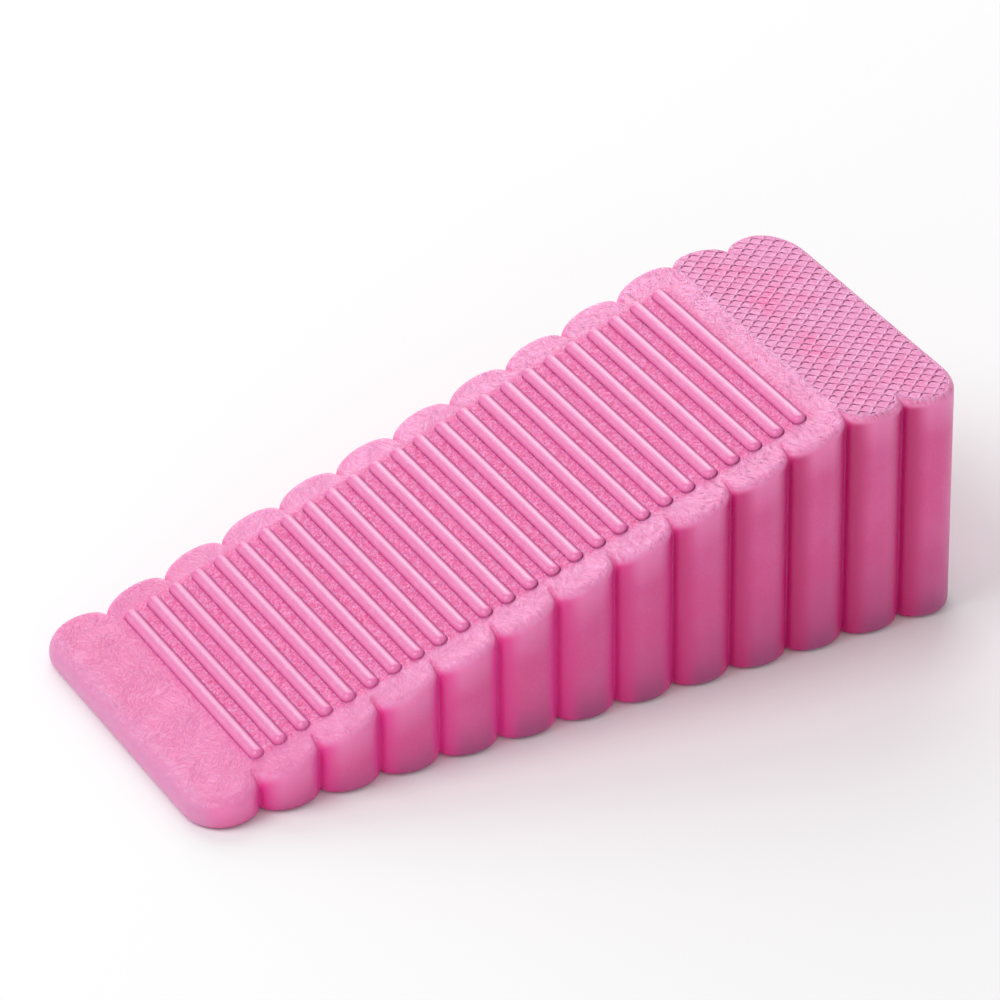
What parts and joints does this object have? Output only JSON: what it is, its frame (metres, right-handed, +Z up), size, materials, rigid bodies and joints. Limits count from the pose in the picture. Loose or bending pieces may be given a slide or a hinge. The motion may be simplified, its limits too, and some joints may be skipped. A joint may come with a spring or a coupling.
{
  "type": "door wedge",
  "caption": "Soft plastic door wedge with fluted sides, round-ended cross ribs on its ramp and a level, diamond-gripped heel.",
  "frame": {"origin": "middle of the flat sole", "axes": "+X runs from the thin toe to the thick heel, +Y across the wedge, +Z up, out of the sole"},
  "size_m": [0.124, 0.055, 0.037],
  "materials": {
    "body": "translucent soft pink plastic, satin, darker in the flutes",
    "rib": "the same soft pink plastic, smoother and a little lighter on the crest",
    "grip": "the same soft pink plastic with a fine crossed diamond texture"
  },
  "bodies": {
    "root": {"wedge_body": "body", "ramp_rib_01": "rib", "ramp_rib_02": "rib", "ramp_rib_03": "rib", "ramp_rib_04": "rib", "ramp_rib_05": "rib", "ramp_rib_06": "rib", "ramp_rib_07": "rib", "ramp_rib_08": "rib", "ramp_rib_09": "rib", "ramp_rib_10": "rib", "ramp_rib_11": "rib", "ramp_rib_12": "rib", "ramp_rib_13": "rib", "ramp_rib_14": "rib", "ramp_rib_15": "rib", "ramp_rib_16": "rib", "ramp_rib_17": "rib", "ramp_rib_18": "rib", "ramp_rib_19": "rib", "ramp_rib_20": "rib", "ramp_rib_21": "rib", "ramp_rib_22": "rib", "ramp_rib_23": "rib", "ramp_rib_24": "rib", "ramp_rib_25": "rib", "heel_grip_pad": "grip"}
  },
  "joints": []
}
